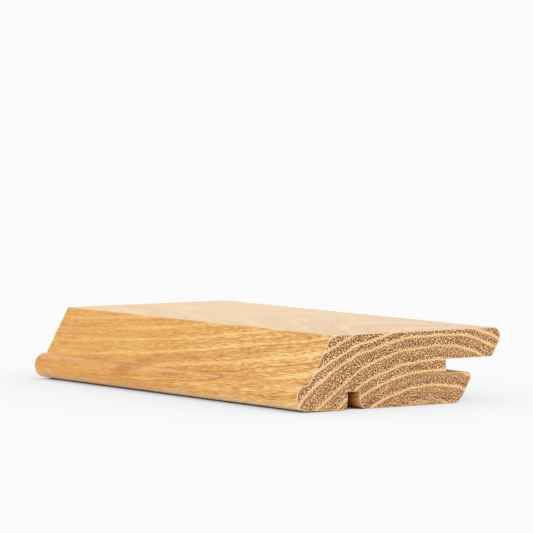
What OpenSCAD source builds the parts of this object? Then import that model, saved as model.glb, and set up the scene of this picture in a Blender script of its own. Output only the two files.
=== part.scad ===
// Threshold strip milled from one solid hardwood board. The top is flat, the front slopes down to a
// half-round nose, the underside carries a drip groove, and the back has a tongue groove between a
// long upper lip and a short lower lip, both undercut at their ends.
// X runs along the strip, the nose faces -Y, and the underside lies on Z = 0.

/* [Strip] */
// Length between the two sawn ends
strip_len = 132; // [30:1:600]
// Width from the nose to the tip of the upper lip
strip_w = 77.5; // [70:0.5:120]
// Thickness from the underside to the top
strip_t = 22; // [20:0.5:32]

/* [Front] */
// Radius of the half-round nose
nose_r = 3.8; // [2.5:0.1:6]
// Height of the nose's bottom above the underside, from which the front land falls to the drip groove
nose_lift = 0.4; // [0:0.05:1]
// Width of the quirk, the narrow flat step between the nose and the slope
quirk_w = 0.7; // [0.2:0.1:2]
// Lean of the front slope from upright, in degrees
slope_lean = 30; // [5:1:45]
// Radius that eases the top front edge
front_edge_r = 0.6; // [0.2:0.1:2]

/* [Tongue groove] */
// Thickness of the tongue that the groove takes
tongue_t = 4; // [3:0.1:6]
// Play of the tongue between the groove's floor and ceiling
tongue_play = 0.2; // [0.1:0.05:0.5]
// Depth of the groove from the upper lip's tip to its inner wall
groove_d = 21.1; // [17:0.1:30]

/* [Upper lip] */
// Thickness of the upper lip
upper_lip_t = 8.7; // [7:0.1:10]
// Lean of the upper lip's undercut end, in degrees
upper_lip_lean = 33; // [10:1:40]
// Radius of the upper lip's tip
upper_tip_r = 2.8; // [1:0.1:3.5]
// Radius at the foot of the upper lip's end
upper_foot_r = 0.8; // [0.3:0.1:1.5]

/* [Lower lip] */
// Distance that the lower lip's tip stands back from the upper lip's tip
lower_lip_setback = 11.3; // [5:0.1:15]
// Lean of the lower lip's undercut end, in degrees
lower_lip_lean = 31; // [10:1:40]
// Radius of the lower lip's tip
lower_tip_r = 1.4; // [0.5:0.1:2]
// Radius at the foot of the lower lip's end
lower_foot_r = 5; // [1:0.5:7]

/* [Drip groove] */
// Distance from the nose to the drip groove's front wall
drip_from_nose = 19; // [14:0.5:30]
// Width of the drip groove between its walls
drip_w = 4.5; // [3:0.25:9]
// Depth of the drip groove
drip_d = 5.3; // [3.5:0.1:9]
// Radius of the drip groove's front mouth edge
drip_front_r = 0.9; // [0.3:0.1:2.5]
// Radius of the drip groove's back mouth edge
drip_back_r = 1.8; // [0.3:0.1:3]

/* [Hidden] */
$fn = 128;
timber_colour = [0.86, 0.66, 0.4];

// Heights above the underside
nose_mid_z = nose_lift + nose_r;
nose_top_z = nose_mid_z + nose_r;
groove_ceiling_z = strip_t - upper_lip_t;
groove_floor_z = groove_ceiling_z - tongue_t - tongue_play;

// Distances from the nose
slope_foot_y = nose_r + quirk_w;
slope_top_y = slope_foot_y + (strip_t - nose_top_z) * tan(slope_lean);
drip_back_wall_y = drip_from_nose + drip_w;
groove_wall_y = strip_w - groove_d;
lower_lip_w = strip_w - lower_lip_setback;
upper_tip_y = sharp_tip(strip_w, upper_tip_r, upper_lip_lean);
upper_foot_y = upper_tip_y - upper_lip_t * tan(upper_lip_lean);
lower_tip_y = sharp_tip(lower_lip_w, lower_tip_r, lower_lip_lean);
lower_foot_y = lower_tip_y - groove_floor_z * tan(lower_lip_lean);

// Corners of the section, counter-clockwise from the nose: distance from the nose, height, radius
corners = [
    [nose_r, nose_lift, 0],
    [drip_from_nose, 0, drip_front_r],
    [drip_from_nose, drip_d, 0],
    [drip_back_wall_y, drip_d, 0],
    [drip_back_wall_y, 0, drip_back_r],
    [lower_foot_y, 0, lower_foot_r],
    [lower_tip_y, groove_floor_z, lower_tip_r],
    [groove_wall_y, groove_floor_z, 0],
    [groove_wall_y, groove_ceiling_z, 0],
    [upper_foot_y, groove_ceiling_z, upper_foot_r],
    [upper_tip_y, strip_t, upper_tip_r],
    [slope_top_y, strip_t, front_edge_r],
    [slope_foot_y, nose_top_z, 0],
    [nose_r, nose_top_z, 0],
];

// Where an undercut lip's sharp corner lies, so that its rounded tip ends at reach
function sharp_tip(reach, r, lean) = reach - r + r * (1 + sin(lean)) / cos(lean);

function corner_at(i) = let (c = corners[(i + len(corners)) % len(corners)]) [c[0], c[1]];

function direction(from, to) = (to - from) / norm(to - from);

// The sliver of wood outside the arc that rounds a corner
module corner_waste(before, corner, after, r) {
    to_before = direction(corner, before);
    to_after = direction(corner, after);
    inward = direction([0, 0], to_before + to_after);
    half_angle = acos(to_before * to_after) / 2;
    tangent = r / tan(half_angle);
    centre = corner + inward * r / sin(half_angle);
    difference() {
        polygon([
            corner + to_before * tangent,
            corner - inward * r,
            corner + to_after * tangent,
            centre,
        ]);
        translate(centre) circle(r);
    }
}

module strip_section() {
    difference() {
        polygon([for (c = corners) [c[0], c[1]]]);
        for (i = [0:len(corners) - 1])
            if (corners[i][2] > 0)
                corner_waste(corner_at(i - 1), corner_at(i), corner_at(i + 1), corners[i][2]);
    }
    translate([nose_r, nose_mid_z]) circle(nose_r);
}

module timber_strip() {
    color(timber_colour)
        translate([0, -strip_w / 2, 0])
            rotate([90, 0, 90])
                linear_extrude(strip_len, center = true) strip_section();
}

timber_strip();
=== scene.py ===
"""Threshold strip milled from one solid ring-porous hardwood board, on a pale studio floor.

The strip is its milled section swept along X by a Geometry Nodes tree, with the edges of its two sawn ends
eased afterwards. The wood is one solid pattern: growth rings round the heart of the log, pores along the
fibres, and a grain that climbs along the length. The oiled faces, top and nose, the raw grooves, the sawn
ends and the sanded end edges are all cuts of that one pattern. Some of their colour is painted light: a
painted sheen on the foot of the nose, painted shade deep in the drip groove, and a painted highlight
that partly pales the sanded end edges.
"""

import math

import bmesh
import bpy
from mathutils import Matrix, Vector


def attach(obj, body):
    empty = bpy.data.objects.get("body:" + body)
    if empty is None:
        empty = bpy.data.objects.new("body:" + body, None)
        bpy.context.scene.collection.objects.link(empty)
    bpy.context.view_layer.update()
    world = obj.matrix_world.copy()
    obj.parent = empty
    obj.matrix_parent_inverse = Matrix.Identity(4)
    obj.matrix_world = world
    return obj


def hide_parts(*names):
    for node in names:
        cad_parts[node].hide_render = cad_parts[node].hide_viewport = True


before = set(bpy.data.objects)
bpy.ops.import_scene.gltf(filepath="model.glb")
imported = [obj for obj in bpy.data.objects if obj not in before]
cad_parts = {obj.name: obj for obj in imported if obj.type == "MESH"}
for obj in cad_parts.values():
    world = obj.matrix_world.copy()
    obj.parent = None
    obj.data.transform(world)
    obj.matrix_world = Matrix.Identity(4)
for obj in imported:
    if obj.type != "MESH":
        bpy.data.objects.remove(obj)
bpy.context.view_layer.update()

MM = 0.001

# Milled section in millimetres: the driving sizes of the part's source, apart from the two mouth edges of
# the drip groove, which are worn rounder here
STRIP_LEN = 132.0
STRIP_W = 77.5
STRIP_T = 22.0
NOSE_R = 3.8
NOSE_LIFT = 0.4
QUIRK_W = 0.7
SLOPE_LEAN = math.radians(30)
FRONT_EDGE_R = 0.6
TONGUE_T = 4.0
TONGUE_PLAY = 0.2
GROOVE_D = 21.1
UPPER_LIP_T = 8.7
UPPER_LIP_LEAN = math.radians(33)
UPPER_TIP_R = 2.8
UPPER_FOOT_R = 0.8
LOWER_LIP_SETBACK = 11.3
LOWER_LIP_LEAN = math.radians(31)
LOWER_TIP_R = 1.4
LOWER_FOOT_R = 5.0
DRIP_FROM_NOSE = 19.0
DRIP_W = 4.5
DRIP_D = 5.3
DRIP_FRONT_R = 1.9
DRIP_BACK_R = 2.9

# What follows from those sizes
DRIP_BACK = DRIP_FROM_NOSE + DRIP_W
GROOVE_WALL = STRIP_W - GROOVE_D
GROOVE_TOP = STRIP_T - UPPER_LIP_T
GROOVE_FLOOR = GROOVE_TOP - TONGUE_T - TONGUE_PLAY

# Fineness of the mesh and easing of the end edges, in millimetres
ARC_STEP = 0.25
ARC_STEPS_LEAST = 4
STATION_STEP = 2.0
END_EASE = 0.2
MERGE_WITHIN = 0.001
# Angle past which an edge stays crisp
CREASE = math.radians(25)
# Play for telling the faces apart: in millimetres, and in how squarely a face looks up or along the strip
SLACK = 0.01
SQUARE = 0.99
# Finishes of the strip, in the order of its materials
FACE, END, EASE, DRIP, TOP, NOSE, TONGUE = range(7)

# Growth rings on the near end, in millimetres: heart of the log, then radius and strength of each pale band
HEART_Y = 9.6
HEART_Z = -31.5
RINGS = (
    (30.0, 0.4), (34.1, 0.35), (38.8, 0.95), (43.25, 0.95), (46.35, 0.85), (50.35, 0.85),
    (53.8, 1.0), (56.4, 1.0), (59.5, 1.0), (62.0, 0.9), (64.5, 0.9), (67.0, 0.8),
    (69.5, 0.9), (72.0, 0.9), (74.5, 0.9), (77.0, 0.9),
)
RING_FROM = 28.0
RING_TO = 80.0
# Where a pale band fades out and is full, outside its ring and inside it
BAND_AFTER = (0.7, 0.2)
BAND_BEFORE = (0.3, 0.08)
# Thin dark lines that some rings draw on the planed faces near the end: radius and strength, then fade
RING_LINES = ((58.25, 0.5), (61.85, 0.65), (64.3, 0.2))
LINE_EDGE = (0.13, 0.04)
# Lift of the rings across the width: they run straight down to the nose and dip towards the back
RING_LIFT = (
    (-40.3, -9.7), (-32.3, -4.7), (-24.3, -1.5), (-16.3, 0.0), (-8.3, 1.6), (-0.3, 1.9),
    (7.7, 2.0), (15.7, 1.4), (23.7, 0.5), (31.7, -0.6), (41.7, -1.1),
)
# Sag of the inner rings across the width, and the radii between which they part from the outer ones
RING_SAG = (
    (-40.3, 0.9), (-34.0, 0.95), (-30.0, 1.05), (-26.0, 1.2), (-22.0, 1.35), (-18.0, 0.9),
    (-14.0, 0.42), (-10.0, 0.08), (-4.0, -0.05), (8.0, -0.1), (14.0, -0.2), (20.0, -0.2),
    (24.0, 0.15), (28.0, 0.5), (34.0, 0.62), (41.7, 0.65),
)
SAG_FROM = 53.4
SAG_TO = 50.7
# Radius at which lengths along the rings are true
ARC_R = 55.0

# Climb of the grain up the front slope over the length, in millimetres, and how much it slows on the way
CLIMB = 15.0
CLIMB_SLOWS = 0.5
# Size of the fibres' wander, and how far they sway
WANDER_SIZE = (18.0, 7.0, 7.0)
SWAY = (0.0, 0.8, 0.8)
# Share of the climb, the length and the sway that shows on the rounded nose
NOSE_CLIMB = 0.3
NOSE_LENGTH = 0.65
NOSE_SWAY = (0.35, 0.35, 0.35)

# Pin knot in the nose, the dark streaks from it and the paler wood below: centre, half sizes and strength
STAINS = (
    ((-18.8, -36.8, 7.4), (9.0, 3.6, 2.6), 0.32),
    ((-14.6, -33.8, 9.2), (6.5, 2.0, 1.8), 0.2),
    ((-9.5, -32.3, 11.3), (6.0, 1.4, 1.2), 0.14),
    ((-21.5, -38.4, 5.5), (7.0, 1.8, 2.2), 0.18),
    ((6.5, -37.9, 6.7), (14.0, 1.8, 1.2), 0.32),
    ((7.5, -32.2, 11.5), (11.0, 1.6, 1.7), 0.18),
    ((46.0, -36.6, 7.4), (40.0, 3.0, 2.2), 0.1),
    ((21.0, -38.6, 4.6), (18.0, 1.6, 1.9), -0.14),
    ((-7.0, -38.7, 4.4), (9.0, 1.2, 1.7), -0.16),
)
STAIN_EDGE = (1.0, 0.1)
KNOT_AT = (-15.0, -38.2, 6.2)
KNOT_REACH = (2.4, 1.4, 0.9)
KNOT_EDGE = (1.0, 0.2, 0.0, 0.36)

# Marks of the long grain: size along the fibres and across them in millimetres, then edge or strength
FINE_SIZE = (2.3, 0.17, 0.17)
FINE_SHARE = 3.3
STREAK_SIZE = (16.0, 0.5, 0.5)
CLOUD_SIZE = (60.0, 4.0, 4.0)
CLOUD_SHARE = 0.55
PORE_SIZE = (11.0, 0.6, 0.6)
PORE_EDGE = (0.3, 0.18)
PORE_COVER = 0.95
THREAD_SIZE = (9.0, 0.6, 0.6)
THREAD_EDGE = (0.32, 0.18)
THREAD_SHARE = 0.5
THREAD_SHIFT = (31.7, 4.1, 2.3)
# The open early wood after a ring: where it starts, where it ends, and the share of the pores that need it
EARLY_IN = (0.4, 0.9)
EARLY_OUT = (2.6, 1.2)
EARLY_PORES = 0.5
# Strength of the pale bands on the long faces, from the nose to the slope
BAND_SHARE = (-35.2, -33.8, 0.1, 0.36)
# Changes along the strip: start and end as shares of its length from the near end, and the value at both
BASE_TONE = (0.0, 0.5, 0.42, 0.31)
CRISPNESS = (0.0, 0.6, 1.0, 0.33)
STREAK_SHARE = (0.3, 0.8, 0.55, 0.6)
BAND_FADE = (0.2, 0.8, 1.0, 0.55)
# Share of the painted sheen on the foot of the nose, along the strip
NOSE_SHEEN_ALONG = (0.2, 0.6, 0.62, 0.2)
# Where along the strip the dark ring lines start and are full, and between which shares a lift changes
LINE_FADE = (0.8, 0.2)
LIFT_REACH = (0.0, 0.5)
# Painted sheen on the foot of the nose, a paler strip in place of the light there: height, and place across
# the width, at which it starts and is full
NOSE_SHEEN_UP = (4.6, 0.3)
NOSE_SHEEN_IN = (-34.6, -36.0)
# The top is calmer than the slope and paler towards the far end
TOP_CONTRAST = 0.55
TOP_LIFT = (-0.04, 0.2)
# How far from an end light starts to show in a groove, and where it is full
GROOVE_LIGHT = (5.5, 0.5)

# Vessels on the sawn ends: cell across the rings and along them, pale flecks and dark pores by their edges
VESSEL_SIZE = (0.52, 0.62, 1.0)
VESSEL_SCATTER = 0.9
VESSEL_SHIFT = (3.3, 7.1, 0.0)
FLECK_EDGE = (0.42, 0.24)
VESSEL_EDGE = (0.44, 0.26)
LAYER_SIZE = (0.6, 9.0, 1.0)
# Their contrast across the width, weaker at the nose and the back, and across each ring
NOSE_CONTRAST = (-34.0, -22.0, 0.78, 1.0)
BACK_CONTRAST = (6.0, 34.0, 1.0, 0.74)
RING_CONTRAST = (0.8, 3.2, 1.12, 0.78)
# Cover of the pale bands and of the flecks in them
BAND_COVER = 0.8
BAND_FLECKS = 0.6
# Brightness of the end grain: clouds, pale wood by the ring, darker wood after it, and thin layers
CLOUD_VALUE = (0.3, 0.7, 0.94, 1.07)
RING_PALE = (1.3, 0.5, 0.0, 0.12)
DARK_IN = (0.7, 1.2)
DARK_OUT = (2.6, 1.4)
DARK_VALUE = -0.09
LAYER_VALUE = (0.2, 0.8, -0.3, 0.3)
LAYER_LOW = (9.0, 4.0, 1.0, 1.5)

# Sandpapered end edges, paler partly as sanded wood and partly as a painted highlight where they catch
# the light
SANDED_SIZE = (1.5, 0.5, 0.5)
SANDED_BASE = 0.45
SANDED_SHARE = 1.6
SANDED_BAND = 0.3

# Sheen of the finishes, and the depth of their relief in millimetres
OIL_ROUGH = 0.23
PORE_ROUGH = 0.4
OIL_GLOSS = 0.6
RAW_ROUGH = 0.8
END_ROUGH = 0.9
END_GLOSS = 0.2
SANDED_ROUGH = 0.65
FACE_RELIEF = 0.006
TONE_RELIEF = 0.5
END_RELIEF = 0.03
FLECK_RELIEF = 0.3

# Studio: a dome, a broad key, and how bright the background shows
DOME = 0.85
KEY = 0.3
KEY_FROM = (0.8, -0.35, 0.5)
KEY_SPREAD = math.radians(70)
BACKDROP = 0.96
# Floor: half its width in metres, and its paint
FLOOR_REACH = 40.0
FLOOR_WHITE = (0.955, 0.956, 0.96, 1)
# A hair of air under the strip, in millimetres, so that its underside and the floor never share a plane
FLOOR_GAP = 0.02
# The strip's shade on the floor: how far it looks for cover, in metres, and by how many rays, then where it
# changes from front to back and how deep it is there
SHADE_REACH = 0.5
SHADE_RAYS = 16
SHADE_DEPTH = (-0.045, -0.015, 0.6, 0.3)
# The open share of the dome below which the shade turns to the deep brown of a contact, from front to back
SHADE_CONTACT = (-0.035, -0.025, 0.18, 0.4)

# Camera: place in millimetres, angles, lens and sensor in millimetres, and near and far limits in metres
CAMERA_AT = (954.5, -747.1, 111.2)
CAMERA_TURN = math.radians(51.896)
CAMERA_DIP = math.radians(3.473)
CAMERA_ROLL = math.radians(0.6)
CAMERA_LENS = 268.3
CAMERA_SENSOR = 36
CAMERA_NEAR = 0.05
CAMERA_FAR = 200


class Bench:
    """Short calls that add the nodes of one tree and join them."""

    def __init__(self, tree):
        self.tree = tree

    def add(self, kind, **settings):
        node = self.tree.nodes.new(kind)
        for name, value in settings.items():
            setattr(node, name, value)
        return node

    def feed(self, socket, value):
        if isinstance(value, bpy.types.NodeSocket):
            self.tree.links.new(value, socket)
        else:
            socket.default_value = value

    def fill(self, node, *values):
        """Feeds a node's first inputs in their order and gives its first output."""
        for socket, value in zip(node.inputs, values):
            self.feed(socket, value)
        return node.outputs[0]

    def math(self, operation, *values):
        return self.fill(self.add("ShaderNodeMath", operation=operation), *values)

    def vector(self, operation, *values):
        return self.fill(self.add("ShaderNodeVectorMath", operation=operation), *values)

    def ease(self, value, start, end, low=0.0, high=1.0):
        """Smooth step of a value from start to end, given as low to high."""
        node = self.add("ShaderNodeMapRange", interpolation_type="SMOOTHSTEP")
        return self.fill(node, value, start, end, low, high)

    def span(self, value, start, end, low=0.0, high=1.0):
        """Straight, clamped change of a value from start to end, given as low to high."""
        node = self.add("ShaderNodeMapRange", clamp=True)
        return self.fill(node, value, start, end, low, high)

    def length(self, vector):
        node = self.add("ShaderNodeVectorMath", operation="LENGTH")
        self.feed(node.inputs[0], vector)
        return node.outputs["Value"]

    def diagonal(self, first, second):
        """Length of the diagonal over two sides at right angles."""
        squared = self.math("MULTIPLY", second, second)
        return self.math("SQRT", self.math("MULTIPLY_ADD", first, first, squared))

    def xyz(self, x, y, z):
        return self.fill(self.add("ShaderNodeCombineXYZ"), x, y, z)

    def split(self, vector):
        node = self.add("ShaderNodeSeparateXYZ")
        self.feed(node.inputs[0], vector)
        return node.outputs

    def noise(self, vector, size, detail, output="Fac"):
        """Soft noise of a given grain size, as one number or as a colour."""
        node = self.add("ShaderNodeTexNoise")
        self.feed(node.inputs["Vector"], self.vector("DIVIDE", vector, size))
        self.feed(node.inputs["Scale"], 1.0)
        self.feed(node.inputs["Detail"], detail)
        return node.outputs[output]

    def swing(self, vector, size, detail=1.0):
        """Soft noise of a given grain size, to and fro about zero."""
        return self.math("SUBTRACT", self.noise(vector, size, detail), 0.5)

    def cells(self, vector, size, dimensions="3D", scatter=1.0):
        """Distance to the nearest of many points, one to each cell of a given size, even or scattered."""
        node = self.add("ShaderNodeTexVoronoi", feature="F1", voronoi_dimensions=dimensions)
        self.feed(node.inputs["Vector"], self.vector("DIVIDE", vector, size))
        self.feed(node.inputs["Scale"], 1.0)
        self.feed(node.inputs["Randomness"], scatter)
        return node.outputs["Distance"]

    def mix(self, amount, first, second):
        node = self.add("ShaderNodeMix", data_type="RGBA")
        self.feed(node.inputs["Factor"], amount)
        self.feed(node.inputs[6], first)
        self.feed(node.inputs[7], second)
        return node.outputs[2]

    def curve(self, value, points):
        """A smooth curve through points, each given as value and result."""
        low, high = points[0][0], points[-1][0]
        least = min(result for each, result in points)
        most = max(result for each, result in points)
        node = self.add("ShaderNodeFloatCurve")
        line = node.mapping.curves[0]
        while len(line.points) < len(points):
            line.points.new(0.5, 0.5)
        for point, (each, result) in zip(line.points, points):
            point.location = ((each - low) / (high - low), (result - least) / (most - least))
        node.mapping.update()
        self.feed(node.inputs["Value"], self.span(value, low, high))
        return self.math("MULTIPLY_ADD", node.outputs[0], most - least, least)

    def ramp(self, amount, tones):
        """Colours laid evenly from 0 to 1."""
        node = self.add("ShaderNodeValToRGB")
        stops = node.color_ramp.elements
        while len(stops) < len(tones):
            stops.new(0.5)
        for i, (stop, tone) in enumerate(zip(stops, tones)):
            stop.position = i / (len(tones) - 1)
            stop.color = tone
        self.feed(node.inputs["Fac"], amount)
        return node.outputs["Color"]

    def relief(self, height, depth):
        """Bump of a height that stands a given depth, in millimetres."""
        node = self.add("ShaderNodeBump")
        self.feed(node.inputs["Strength"], 1.0)
        self.feed(node.inputs["Distance"], depth * MM)
        self.feed(node.inputs["Height"], height)
        return node.outputs[0]


def tint(red, green, blue):
    """A colour given as screen values from 0 to 255, as the linear colour that a shader takes."""
    def linear(value):
        share = value / 255
        return share / 12.92 if share <= 0.04045 else ((share + 0.055) / 1.055) ** 2.4
    return (linear(red), linear(green), linear(blue), 1.0)


# Colours of the wood, from dark to pale where there are several
FACE_TONES = (
    tint(198, 119, 20), tint(218, 149, 53), tint(232, 173, 82), tint(243, 195, 110), tint(251, 216, 146),
)
TOP_TONES = (
    tint(198, 122, 20), tint(218, 153, 52), tint(232, 177, 80), tint(243, 199, 108), tint(251, 219, 144),
)
FACE_PORE = tint(150, 68, 4)
FACE_KNOT = tint(204, 176, 160)
# Painted sheen: pale tones laid on the foot of the nose in place of the light there
NOSE_SHEEN_TONES = (tint(238, 188, 112), tint(255, 222, 148), tint(255, 242, 186))
# Painted shade: the dark tones deep in the drip groove, where light from the ends doesn't reach; the paler
# groove tones below are laid by the ends
DRIP_SHADE_TONES = (tint(104, 54, 16), tint(142, 82, 32), tint(176, 112, 54))
TONGUE_TONES = (tint(212, 156, 104), tint(232, 184, 130), tint(246, 208, 160))
GROOVE_PALE = (tint(206, 140, 70), tint(228, 168, 98), tint(242, 192, 126))
GROOVE_PORE = tint(96, 52, 18)
END_GROUND = tint(187, 135, 89)
END_FLECK = tint(255, 222, 172)
END_PORE = tint(86, 26, 0)
END_BAND = tint(233, 195, 136)
# Sanded end edges: pale partly as sanded wood and partly as a painted highlight
SANDED_AND_HIGHLIGHT_TONES = (tint(196, 156, 114), tint(226, 192, 150), tint(246, 222, 188))
# Painted shade: the deep brown that the floor shows where the strip meets it, not a colour of the wood
SHADE_DEEP = tint(48, 22, 10)


def sharp_tip(reach, radius, lean):
    """Where an undercut lip's sharp corner lies, so that its rounded tip ends at reach."""
    return reach - radius + radius * (1 + math.sin(lean)) / math.cos(lean)


def section_corners():
    """Corners of the section from the nose along the underside: distance from the nose, height, radius."""
    nose_h = NOSE_LIFT + 2 * NOSE_R
    slope_foot = NOSE_R + QUIRK_W
    slope_top = slope_foot + (STRIP_T - nose_h) * math.tan(SLOPE_LEAN)
    upper_tip = sharp_tip(STRIP_W, UPPER_TIP_R, UPPER_LIP_LEAN)
    upper_foot = upper_tip - UPPER_LIP_T * math.tan(UPPER_LIP_LEAN)
    lower_tip = sharp_tip(STRIP_W - LOWER_LIP_SETBACK, LOWER_TIP_R, LOWER_LIP_LEAN)
    lower_foot = lower_tip - GROOVE_FLOOR * math.tan(LOWER_LIP_LEAN)
    return [
        (NOSE_R, NOSE_LIFT, 0),
        (DRIP_FROM_NOSE, 0, DRIP_FRONT_R),
        (DRIP_FROM_NOSE, DRIP_D, 0),
        (DRIP_BACK, DRIP_D, 0),
        (DRIP_BACK, 0, DRIP_BACK_R),
        (lower_foot, 0, LOWER_FOOT_R),
        (lower_tip, GROOVE_FLOOR, LOWER_TIP_R),
        (GROOVE_WALL, GROOVE_FLOOR, 0),
        (GROOVE_WALL, GROOVE_TOP, 0),
        (upper_foot, GROOVE_TOP, UPPER_FOOT_R),
        (upper_tip, STRIP_T, UPPER_TIP_R),
        (slope_top, STRIP_T, FRONT_EDGE_R),
        (slope_foot, nose_h, 0),
        (NOSE_R, nose_h, 0),
    ]


def rounded_corner(before, corner, after, radius):
    """Points of the arc that rounds a corner, from the side of the one before to that of the one after."""
    to_before = (before - corner).normalized()
    to_after = (after - corner).normalized()
    half_angle = to_before.angle(to_after) / 2
    centre = corner + (to_before + to_after).normalized() * radius / math.sin(half_angle)
    start = corner + to_before * radius / math.tan(half_angle) - centre
    sweep = start.angle_signed(corner + to_after * radius / math.tan(half_angle) - centre)
    steps = max(ARC_STEPS_LEAST, math.ceil(abs(sweep) * radius / ARC_STEP))
    return [centre + Matrix.Rotation(-sweep * i / steps, 2) @ start for i in range(steps + 1)]


def milled_section():
    """The section's outline, counter-clockwise, as distance from the nose and height."""
    corners = section_corners()
    places = [Vector(corner[:2]) for corner in corners]
    outline = []
    for i, place in enumerate(places):
        radius = corners[i][2]
        if radius > 0:
            outline += rounded_corner(places[i - 1], place, places[(i + 1) % len(places)], radius)
        else:
            outline.append(place)
    nose_z = NOSE_LIFT + NOSE_R
    nose_steps = math.ceil(math.pi * NOSE_R / ARC_STEP)
    for i in range(1, nose_steps):
        turn = math.pi / 2 + math.pi * i / nose_steps
        outline.append(Vector((NOSE_R + NOSE_R * math.cos(turn), nose_z + NOSE_R * math.sin(turn))))
    return outline


def sweep_tree():
    """Geometry Nodes tree that sweeps a section along X over a given length."""
    tree = bpy.data.node_groups.new("sweep_section", "GeometryNodeTree")
    face = tree.interface
    face.new_socket("Section", in_out="INPUT", socket_type="NodeSocketGeometry")
    face.new_socket("Length", in_out="INPUT", socket_type="NodeSocketFloat")
    face.new_socket("Stations", in_out="INPUT", socket_type="NodeSocketInt")
    face.new_socket("Finish", in_out="INPUT", socket_type="NodeSocketMaterial")
    face.new_socket("Strip", in_out="OUTPUT", socket_type="NodeSocketGeometry")
    bench = Bench(tree)
    given = bench.add("NodeGroupInput").outputs
    ready = bench.add("NodeGroupOutput").inputs
    half = bench.math("MULTIPLY", given["Length"], 0.5)
    line = bench.add("GeometryNodeCurvePrimitiveLine")
    bench.feed(line.inputs["Start"], bench.xyz(bench.math("MULTIPLY", half, -1.0), 0.0, 0.0))
    bench.feed(line.inputs["End"], bench.xyz(half, 0.0, 0.0))
    stations = bench.add("GeometryNodeResampleCurve")
    bench.feed(stations.inputs["Curve"], line.outputs[0])
    bench.feed(stations.inputs["Count"], given["Stations"])
    upright = bench.add("GeometryNodeSetCurveTilt")
    bench.feed(upright.inputs["Curve"], stations.outputs[0])
    bench.feed(upright.inputs["Tilt"], math.pi)
    swept = bench.add("GeometryNodeCurveToMesh")
    bench.feed(swept.inputs["Curve"], upright.outputs[0])
    bench.feed(swept.inputs["Profile Curve"], given["Section"])
    bench.feed(swept.inputs["Fill Caps"], True)
    whole = bench.add("GeometryNodeRealizeInstances")
    bench.feed(whole.inputs[0], swept.outputs[0])
    dressed = bench.add("GeometryNodeSetMaterial")
    bench.feed(dressed.inputs["Geometry"], whole.outputs[0])
    bench.feed(dressed.inputs["Material"], given["Finish"])
    bench.feed(ready["Strip"], dressed.outputs[0])
    return tree


def set_inputs(modifier, **values):
    """Sets a tree's named inputs by their sockets' identifiers."""
    for item in modifier.node_group.interface.items_tree:
        if item.in_out == "INPUT" and item.name.lower() in values:
            modifier[item.identifier] = values[item.name.lower()]


def swept_strip(finish):
    """The strip's plain mesh, with square ends."""
    outline = milled_section()
    curve = bpy.data.curves.new("strip_section", "CURVE")
    curve.dimensions = "3D"
    spline = curve.splines.new("POLY")
    spline.points.add(len(outline) - 1)
    for point, place in zip(spline.points, outline):
        point.co = ((place.x - STRIP_W / 2) * MM, place.y * MM, 0, 1)
    spline.use_cyclic_u = True
    section = bpy.data.objects.new("strip_section", curve)
    bpy.context.scene.collection.objects.link(section)
    modifier = section.modifiers.new("sweep", "NODES")
    modifier.node_group = sweep_tree()
    set_inputs(modifier, length=STRIP_LEN * MM, stations=round(STRIP_LEN / STATION_STEP) + 1, finish=finish)
    shaped = section.evaluated_get(bpy.context.evaluated_depsgraph_get())
    mesh = bpy.data.meshes.new_from_object(shaped)
    bpy.data.objects.remove(section)
    return mesh


def long_finish(face):
    """The finish of a face along the strip."""
    middle = face.calc_center_median() / MM
    from_nose = middle.y + STRIP_W / 2
    in_drip = DRIP_FROM_NOSE - DRIP_FRONT_R < from_nose < DRIP_BACK + DRIP_BACK_R
    between_lips = GROOVE_FLOOR - SLACK < middle.z < GROOVE_TOP + SLACK
    if in_drip and middle.z < DRIP_D + SLACK:
        return DRIP
    if from_nose > GROOVE_WALL - SLACK and between_lips:
        return TONGUE
    if face.normal.z > SQUARE and middle.z > STRIP_T - SLACK:
        return TOP
    return NOSE if from_nose < NOSE_R else FACE


def timber_strip(finishes):
    """The strip with its sawn ends eased, each face in its own finish, and its edges kept crisp."""
    mesh = swept_strip(finishes[FACE])
    mesh.materials.clear()
    for finish in finishes:
        mesh.materials.append(finish)
    work = bmesh.new()
    work.from_mesh(mesh)
    bmesh.ops.remove_doubles(work, verts=work.verts, dist=MERGE_WITHIN * MM)
    bmesh.ops.recalc_face_normals(work, faces=work.faces)
    for each in work.faces:
        each.material_index = long_finish(each)
    for cap in [each for each in work.faces if abs(each.normal.x) > SQUARE]:
        cap.material_index = END
        inset = bmesh.ops.inset_region(work, faces=[cap], thickness=END_EASE * MM, use_even_offset=True)
        rim = inset["faces"]
        for each in rim:
            each.material_index = EASE
        outer = {vert for each in rim for vert in each.verts} - set(cap.verts)
        for vert in outer:
            vert.co.x -= math.copysign(END_EASE * MM, vert.co.x)
    for each in work.faces:
        each.smooth = True
    work.to_mesh(mesh)
    work.free()
    mesh.set_sharp_from_angle(angle=CREASE)
    strip = bpy.data.objects.new("milled_strip", mesh)
    bpy.context.scene.collection.objects.link(strip)
    return strip


def ring_share(radius):
    """Where a radius lies in the range of the rings, from 0 to 1."""
    return (radius - RING_FROM) / (RING_TO - RING_FROM)


def ring_gap(bench, share, first, shown):
    """Distance from the ring shown at each place, in millimetres, and that ring's strength.

    first is the radius shown up to the innermost ring, and shown gives the ring shown from each ring on.
    """
    node = bench.add("ShaderNodeValToRGB")
    node.color_ramp.interpolation = "CONSTANT"
    stops = node.color_ramp.elements
    stops.remove(stops[-1])
    stops[0].position = 0.0
    stops[0].color = (ring_share(first), RINGS[0][1], 0, 1)
    for ring, (radius, strength) in zip(RINGS, shown):
        stop = stops.new(ring_share(ring[0]))
        stop.color = (ring_share(radius), strength, 0, 1)
    bench.feed(node.inputs["Fac"], share)
    parts = bench.add("ShaderNodeSeparateColor")
    bench.feed(parts.inputs[0], node.outputs["Color"])
    gap = bench.math("ABSOLUTE", bench.math("SUBTRACT", share, parts.outputs[0]))
    return bench.math("MULTIPLY", gap, RING_TO - RING_FROM), parts.outputs[1]


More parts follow.
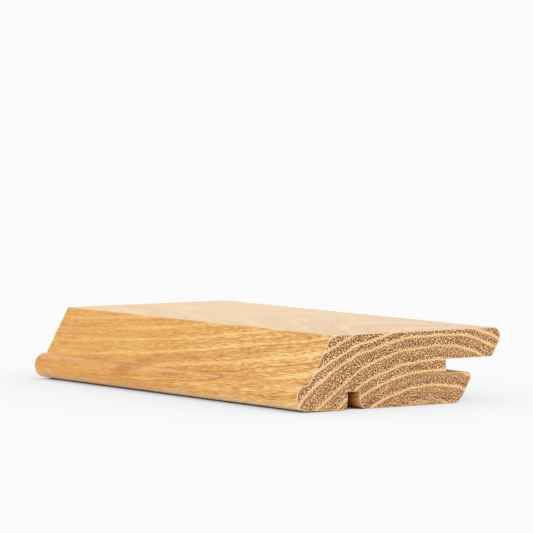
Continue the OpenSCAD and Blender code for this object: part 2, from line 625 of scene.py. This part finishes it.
def growth_pattern():
    """Node group of the solid wood, in millimetres.

    It gives the pale ring bands, the distance from the last ring, the dark ring lines, the stains, the share
    of the length from the near end, the fibres' coordinates, which climb with the grain, those rolled round
    the nose, those across the rings, and the place.
    """
    tree = bpy.data.node_groups.new("growth_pattern", "ShaderNodeTree")
    for name in ("Band", "Since band", "Line", "Stain", "Along"):
        tree.interface.new_socket(name, in_out="OUTPUT", socket_type="NodeSocketFloat")
    for name in ("Fibre", "Nose fibre", "Across", "Place"):
        tree.interface.new_socket(name, in_out="OUTPUT", socket_type="NodeSocketVector")
    bench = Bench(tree)
    ready = bench.add("NodeGroupOutput").inputs
    place = bench.add("ShaderNodeTexCoord").outputs["Object"]
    place_mm = bench.vector("MULTIPLY", place, (1 / MM, 1 / MM, 1 / MM))
    x, y, z = bench.split(place_mm)
    along = bench.math("DIVIDE", bench.math("SUBTRACT", STRIP_LEN / 2, x), STRIP_LEN)
    bench.feed(ready["Place"], place_mm)
    bench.feed(ready["Along"], along)

    slope = bench.math("MULTIPLY_ADD", along, CLIMB_SLOWS * CLIMB, -(1 + CLIMB_SLOWS) * CLIMB)
    climb = bench.math("MULTIPLY", along, slope)
    straight_y = bench.math("MULTIPLY_ADD", climb, -math.sin(SLOPE_LEAN), y)
    straight_z = bench.math("MULTIPLY_ADD", climb, -math.cos(SLOPE_LEAN), z)
    straight = bench.xyz(x, straight_y, straight_z)
    wander = bench.noise(straight, WANDER_SIZE, 0.0, "Color")
    sway = bench.vector("MULTIPLY", bench.vector("SUBTRACT", wander, (0.5, 0.5, 0.5)), SWAY)
    fibre = bench.vector("ADD", straight, sway)
    bench.feed(ready["Fibre"], fibre)

    above_nose = bench.math("SUBTRACT", z, NOSE_LIFT + NOSE_R)
    before_nose = bench.math("SUBTRACT", NOSE_R - STRIP_W / 2, y)
    rolled = bench.math("MULTIPLY", bench.math("ARCTAN2", above_nose, before_nose), NOSE_R)
    rolled = bench.math("MULTIPLY_ADD", climb, -NOSE_CLIMB, rolled)
    round_nose = bench.xyz(bench.math("MULTIPLY", x, NOSE_LENGTH), rolled, 0.0)
    bench.feed(ready["Nose fibre"], bench.vector("MULTIPLY_ADD", sway, NOSE_SWAY, round_nose))

    fibre_at = bench.split(fibre)
    off_y = bench.math("SUBTRACT", fibre_at["Y"], HEART_Y)
    off_z = bench.math("SUBTRACT", fibre_at["Z"], HEART_Z)
    arc = bench.math("MULTIPLY", bench.math("ARCTAN2", off_y, off_z), ARC_R)
    bench.feed(ready["Across"], bench.xyz(bench.diagonal(off_y, off_z), arc, 0.0))

    lifted = bench.math("ADD", off_z, bench.curve(fibre_at["Y"], RING_LIFT))
    depth = bench.diagonal(off_y, lifted)
    inner = bench.span(depth, SAG_FROM, SAG_TO)
    depth = bench.math("MULTIPLY_ADD", bench.curve(fibre_at["Y"], RING_SAG), inner, depth)
    share = bench.span(depth, RING_FROM, RING_TO)
    since, last = ring_gap(bench, share, RING_FROM, RINGS)
    until, following = ring_gap(bench, share, RINGS[0][0], RINGS[1:] + RINGS[-1:])
    after = bench.math("MULTIPLY", bench.ease(since, *BAND_AFTER), last)
    before = bench.math("MULTIPLY", bench.ease(until, *BAND_BEFORE), following)
    bench.feed(ready["Band"], bench.math("MAXIMUM", after, before))
    bench.feed(ready["Since band"], since)

    line = 0.0
    for radius, strength in RING_LINES:
        from_line = bench.math("ABSOLUTE", bench.math("SUBTRACT", depth, radius))
        line = bench.math("ADD", line, bench.ease(from_line, *LINE_EDGE, 0.0, strength))
    bench.feed(ready["Line"], line)
    stain = 0.0
    for centre, half_sizes, strength in STAINS:
        reach = bench.vector("DIVIDE", bench.vector("SUBTRACT", place_mm, centre), half_sizes)
        stain = bench.math("ADD", stain, bench.ease(bench.length(reach), *STAIN_EDGE, 0.0, strength))
    bench.feed(ready["Stain"], stain)
    return tree


def wood_material(name, pattern):
    """A new material with its tree's bench, its shader and the outputs of the wood's pattern."""
    material = bpy.data.materials.new(name)
    material.use_nodes = True
    bench = Bench(material.node_tree)
    rings = bench.add("ShaderNodeGroup", node_tree=pattern).outputs
    return material, bench, material.node_tree.nodes["Principled BSDF"], rings


def face_tone(bench, rings, fibre, contrast):
    """Tone of the planed long grain from 0, dark, to 1, pale, and its open pores."""
    along = rings["Along"]
    since = rings["Since band"]
    crisp = bench.span(along, *CRISPNESS)
    early = bench.math("MULTIPLY", bench.ease(since, *EARLY_IN), bench.ease(since, *EARLY_OUT))
    open_wood = bench.math("MULTIPLY_ADD", early, EARLY_PORES, 1 - EARLY_PORES)
    pores = bench.ease(bench.cells(fibre, PORE_SIZE), *PORE_EDGE)
    pores = bench.math("MULTIPLY", pores, bench.math("MULTIPLY", open_wood, crisp))
    threads = bench.cells(bench.vector("ADD", fibre, THREAD_SHIFT), THREAD_SIZE)
    threads = bench.math("MULTIPLY", bench.ease(threads, *THREAD_EDGE), crisp)
    band_share = bench.ease(bench.split(rings["Place"])["Y"], *BAND_SHARE)
    band_share = bench.math("MULTIPLY", band_share, bench.span(along, *BAND_FADE))
    line = bench.math("MULTIPLY", rings["Line"], bench.ease(along, *LINE_FADE))

    fine_share = bench.math("MULTIPLY", crisp, FINE_SHARE)
    tone = bench.math("MULTIPLY", bench.swing(fibre, FINE_SIZE), fine_share)
    streak_share = bench.span(along, *STREAK_SHARE)
    tone = bench.math("MULTIPLY_ADD", bench.swing(fibre, STREAK_SIZE), streak_share, tone)
    tone = bench.math("MULTIPLY_ADD", bench.swing(fibre, CLOUD_SIZE), CLOUD_SHARE, tone)
    tone = bench.math("MULTIPLY_ADD", rings["Band"], band_share, tone)
    tone = bench.math("MULTIPLY_ADD", threads, THREAD_SHARE, tone)
    tone = bench.math("SUBTRACT", tone, rings["Stain"])
    tone = bench.math("SUBTRACT", tone, line)
    return bench.math("MULTIPLY_ADD", tone, contrast, bench.span(along, *BASE_TONE)), pores


def oiled_wood(pattern, name, run="Fibre", tones=FACE_TONES, contrast=1.0, lift=(0.0, 0.0)):
    """Planed long grain under oil: fine streaks along the fibres, soft ring bands, thin open pores, and a
    painted sheen on the foot of the nose.
    """
    material, bench, shader, rings = wood_material(name, pattern)
    tone, pores = face_tone(bench, rings, rings[run], contrast)
    tone = bench.math("ADD", tone, bench.span(rings["Along"], *LIFT_REACH, *lift))
    pore_cover = bench.math("MULTIPLY", pores, PORE_COVER * contrast)
    colour = bench.mix(pore_cover, bench.ramp(tone, tones), FACE_PORE)
    from_knot = bench.vector("DIVIDE", bench.vector("SUBTRACT", rings["Place"], KNOT_AT), KNOT_REACH)
    colour = bench.mix(bench.ease(bench.length(from_knot), *KNOT_EDGE), colour, FACE_KNOT)
    place = bench.split(rings["Place"])
    # Painted sheen: the foot of the nose is laid paler, fading along the strip, in place of the light there
    painted_sheen = bench.math("MULTIPLY", bench.ease(place["Z"], *NOSE_SHEEN_UP), bench.ease(place["Y"], *NOSE_SHEEN_IN))
    painted_sheen = bench.math("MULTIPLY", painted_sheen, bench.span(rings["Along"], *NOSE_SHEEN_ALONG))
    colour = bench.mix(painted_sheen, colour, bench.ramp(tone, NOSE_SHEEN_TONES))
    bench.feed(shader.inputs["Base Color"], colour)
    bench.feed(shader.inputs["Roughness"], bench.span(pores, 0.0, 1.0, OIL_ROUGH, PORE_ROUGH))
    shader.inputs["Specular IOR Level"].default_value = OIL_GLOSS
    height = bench.math("SUBTRACT", bench.math("MULTIPLY", tone, TONE_RELIEF), pores)
    bench.feed(shader.inputs["Normal"], bench.relief(height, FACE_RELIEF))
    return material


def raw_groove(pattern, name, deep_tones):
    """A groove's walls as the cutter left them: raw and matt, in one tone deep inside and another where
    light reaches in from the ends. In the drip groove the dark deep tone is painted shade.
    """
    material, bench, shader, rings = wood_material(name, pattern)
    tone, pores = face_tone(bench, rings, rings["Fibre"], 1.0)
    from_middle = bench.math("ABSOLUTE", bench.split(rings["Place"])["X"])
    from_end = bench.math("SUBTRACT", STRIP_LEN / 2, from_middle)
    lit = bench.ease(from_end, *GROOVE_LIGHT)
    # Painted shade in the drip groove: deep tones away from the ends, paler tones where light reaches in
    colour = bench.mix(lit, bench.ramp(tone, deep_tones), bench.ramp(tone, GROOVE_PALE))
    bench.feed(shader.inputs["Base Color"], bench.mix(pores, colour, GROOVE_PORE))
    shader.inputs["Roughness"].default_value = RAW_ROUGH
    return material


def sawn_end(pattern):
    """Sawn end grain: a brown ground crowded with pale vessels in rows along the rings, and tan bands."""
    material, bench, shader, rings = wood_material("sawn_end", pattern)
    band = rings["Band"]
    since = rings["Since band"]
    across = rings["Across"]
    place = bench.split(rings["Place"])
    flecks = bench.ease(bench.cells(across, VESSEL_SIZE, "2D", VESSEL_SCATTER), *FLECK_EDGE)
    shifted = bench.vector("ADD", across, VESSEL_SHIFT)
    pores = bench.ease(bench.cells(shifted, VESSEL_SIZE, "2D", VESSEL_SCATTER), *VESSEL_EDGE)

    contrast = bench.span(place["Y"], *NOSE_CONTRAST)
    contrast = bench.math("MULTIPLY", contrast, bench.span(place["Y"], *BACK_CONTRAST))
    contrast = bench.math("MULTIPLY", contrast, bench.span(since, *RING_CONTRAST))
    colour = bench.mix(bench.math("MULTIPLY", flecks, contrast), END_GROUND, END_FLECK)
    colour = bench.mix(bench.math("MULTIPLY", pores, contrast), colour, END_PORE)
    colour = bench.mix(bench.math("MULTIPLY", band, BAND_COVER), colour, END_BAND)
    band_flecks = bench.math("MULTIPLY", bench.math("MULTIPLY", flecks, band), BAND_FLECKS)
    colour = bench.mix(band_flecks, colour, END_FLECK)

    cloud = bench.noise(rings["Fibre"], CLOUD_SIZE, 2.0)
    dark = bench.math("MULTIPLY", bench.ease(since, *DARK_IN), bench.ease(since, *DARK_OUT))
    value = bench.math("MULTIPLY_ADD", dark, DARK_VALUE, bench.span(cloud, *CLOUD_VALUE))
    value = bench.math("ADD", value, bench.ease(since, *RING_PALE))
    layers = bench.span(bench.noise(across, LAYER_SIZE, 1.0), *LAYER_VALUE)
    plain = bench.math("SUBTRACT", 1.0, band)
    layer_share = bench.math("MULTIPLY", plain, bench.ease(place["Z"], *LAYER_LOW))
    value = bench.math("MULTIPLY_ADD", layers, layer_share, value)
    toned = bench.add("ShaderNodeHueSaturation")
    bench.feed(toned.inputs["Value"], value)
    bench.feed(toned.inputs["Color"], colour)

    bench.feed(shader.inputs["Base Color"], toned.outputs[0])
    shader.inputs["Roughness"].default_value = END_ROUGH
    shader.inputs["Specular IOR Level"].default_value = END_GLOSS
    height = bench.math("SUBTRACT", bench.math("MULTIPLY", flecks, FLECK_RELIEF), pores)
    bench.feed(shader.inputs["Normal"], bench.relief(height, END_RELIEF))
    return material


def sanded_edge_and_highlight(pattern):
    """The end edges, gone over with sandpaper: the same grain, drier, and paler partly as sanded wood and
    partly as a painted highlight where the eased edge catches the light.
    """
    material, bench, shader, rings = wood_material("sanded_edge_and_highlight", pattern)
    fine = bench.swing(rings["Fibre"], SANDED_SIZE, 2.0)
    tone = bench.math("MULTIPLY_ADD", fine, SANDED_SHARE, SANDED_BASE)
    tone = bench.math("MULTIPLY_ADD", rings["Band"], SANDED_BAND, tone)
    bench.feed(shader.inputs["Base Color"], bench.ramp(tone, SANDED_AND_HIGHLIGHT_TONES))
    shader.inputs["Roughness"].default_value = SANDED_ROUGH
    return material


def seen_directly(bench):
    """1 where the camera, a reflection or glass looks at the background, 0 where only light does."""
    path = bench.add("ShaderNodeLightPath").outputs
    seen = bench.math("MAXIMUM", path["Is Camera Ray"], path["Is Glossy Ray"])
    return bench.math("MAXIMUM", seen, path["Is Transmission Ray"])


def floor_paint():
    """Plain pale paint that lights the strip as paint does, and shows white with the strip's shade."""
    paint = bpy.data.materials.new("floor_paint")
    paint.use_nodes = True
    paint.cycles.emission_sampling = "NONE"
    bench = Bench(paint.node_tree)
    shader = paint.node_tree.nodes["Principled BSDF"]
    shader.inputs["Base Color"].default_value = FLOOR_WHITE
    shader.inputs["Roughness"].default_value = 1.0
    shader.inputs["Specular IOR Level"].default_value = 0.0

    cover = bench.add("ShaderNodeAmbientOcclusion", samples=SHADE_RAYS)
    bench.feed(cover.inputs["Distance"], SHADE_REACH)
    open_dome = cover.outputs["AO"]
    front_to_back = bench.split(bench.add("ShaderNodeTexCoord").outputs["Object"])["Y"]
    depth = bench.span(front_to_back, *SHADE_DEPTH)
    light = bench.math("MULTIPLY_ADD", bench.math("SUBTRACT", open_dome, 1.0), depth, 1.0)
    clear = bench.ease(open_dome, 0.0, bench.span(front_to_back, *SHADE_CONTACT))
    white = bench.add("ShaderNodeEmission")
    bench.feed(white.inputs["Color"], bench.mix(clear, SHADE_DEEP, light))
    bench.feed(white.inputs["Strength"], BACKDROP)

    shown = bench.add("ShaderNodeMixShader")
    bench.fill(shown, seen_directly(bench), shader.outputs[0], white.outputs[0])
    bench.feed(paint.node_tree.nodes["Material Output"].inputs["Surface"], shown.outputs[0])
    return paint


def studio_floor():
    """A wide pale floor that runs to the horizon."""
    work = bmesh.new()
    bmesh.ops.create_grid(work, x_segments=1, y_segments=1, size=FLOOR_REACH)
    mesh = bpy.data.meshes.new("studio_floor")
    work.to_mesh(mesh)
    work.free()
    mesh.materials.append(floor_paint())
    floor = bpy.data.objects.new("studio_floor", mesh)
    floor.location.z = -FLOOR_GAP * MM
    bpy.context.scene.collection.objects.link(floor)


def studio_light():
    """A white dome that shows as a plain pale backdrop, and one broad key from the camera's side."""
    world = bpy.data.worlds.new("studio_dome")
    bpy.context.scene.world = world
    world.use_nodes = True
    bench = Bench(world.node_tree)
    sky = world.node_tree.nodes["Background"]
    sky.inputs["Color"].default_value = (1, 1, 1, 1)
    bench.feed(sky.inputs["Strength"], bench.span(seen_directly(bench), 0.0, 1.0, DOME, BACKDROP))
    lamp = bpy.data.lights.new("key", "SUN")
    lamp.energy = KEY * math.pi
    lamp.angle = KEY_SPREAD
    key = bpy.data.objects.new("key", lamp)
    key.rotation_euler = Vector(KEY_FROM).to_track_quat("Z", "Y").to_euler()
    bpy.context.scene.collection.objects.link(key)


def studio_camera():
    """A long lens near floor height, turned to show the front slope and one sawn end."""
    lens = bpy.data.cameras.new("camera")
    lens.sensor_width = CAMERA_SENSOR
    lens.lens = CAMERA_LENS
    lens.clip_start = CAMERA_NEAR
    lens.clip_end = CAMERA_FAR
    camera = bpy.data.objects.new("camera", lens)
    turn = Matrix.Rotation(CAMERA_TURN, 4, "Z") @ Matrix.Rotation(math.pi / 2 - CAMERA_DIP, 4, "X")
    turn = turn @ Matrix.Rotation(CAMERA_ROLL, 4, "Z")
    camera.matrix_world = Matrix.Translation(Vector(CAMERA_AT) * MM) @ turn
    bpy.context.scene.collection.objects.link(camera)
    bpy.context.scene.camera = camera


bpy.context.scene.view_settings.view_transform = "Standard"
pattern = growth_pattern()
strip = timber_strip((
    oiled_wood(pattern, "oiled_face"),
    sawn_end(pattern),
    sanded_edge_and_highlight(pattern),
    raw_groove(pattern, "raw_drip_groove", DRIP_SHADE_TONES),
    oiled_wood(pattern, "oiled_top", tones=TOP_TONES, contrast=TOP_CONTRAST, lift=TOP_LIFT),
    oiled_wood(pattern, "oiled_nose", run="Nose fibre"),
    raw_groove(pattern, "raw_tongue_groove", TONGUE_TONES),
))
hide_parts("timber_strip")
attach(strip, "root")
studio_floor()
studio_light()
studio_camera()
